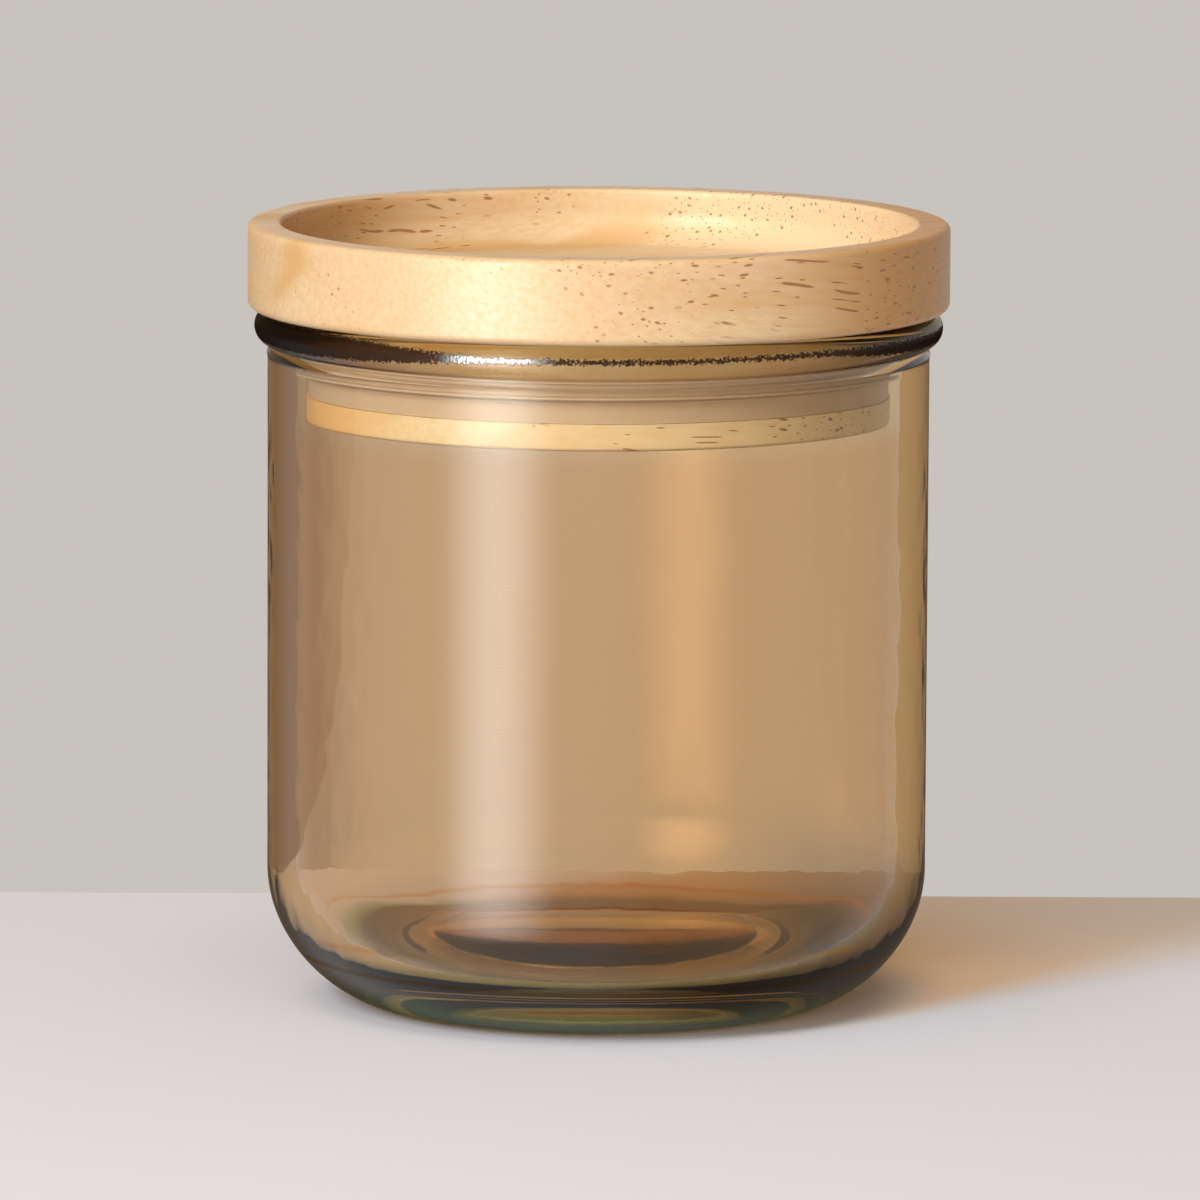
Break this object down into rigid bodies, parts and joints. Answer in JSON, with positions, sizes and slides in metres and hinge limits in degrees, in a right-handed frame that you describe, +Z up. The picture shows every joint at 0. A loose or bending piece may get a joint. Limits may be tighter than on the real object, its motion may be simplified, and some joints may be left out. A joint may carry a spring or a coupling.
{
  "type": "candle jar",
  "caption": "Round thick-walled tinted glass candle jar with rounded heel, rim bead and a dished wooden lid whose plug carries a silicone seal.",
  "frame": {"origin": "centre of the jar's base, on the surface that it stands on", "axes": "+Z up along the jar's axis of revolution, -Y towards the viewer"},
  "size_m": [0.102, 0.102, 0.114],
  "materials": {
    "tinted_glass": "clear pressed glass, lightly tinted brown",
    "lid_wood": "pale rubberwood, sanded and oiled, open pores",
    "plug_wood": "pale rubberwood, sanded, slightly yellower than the cap",
    "silicone": "translucent soft silicone, satin"
  },
  "bodies": {
    "jar": {"glass_jar": "tinted_glass"},
    "seal": {"seal_ring": "silicone"},
    "lid": {"lid_cap": "lid_wood", "lid_plug": "plug_wood"}
  },
  "joints": [
    {"name": "lid_lift", "type": "slide", "parent": "jar", "child": "seal", "axis": [0, 0, 1], "range_m": [0, 0.1]},
    {"name": "lid_turn", "type": "hinge", "parent": "seal", "child": "lid", "pos_m": [0, 0, 0.1016], "axis": [0, 0, 1], "continuous": true}
  ]
}
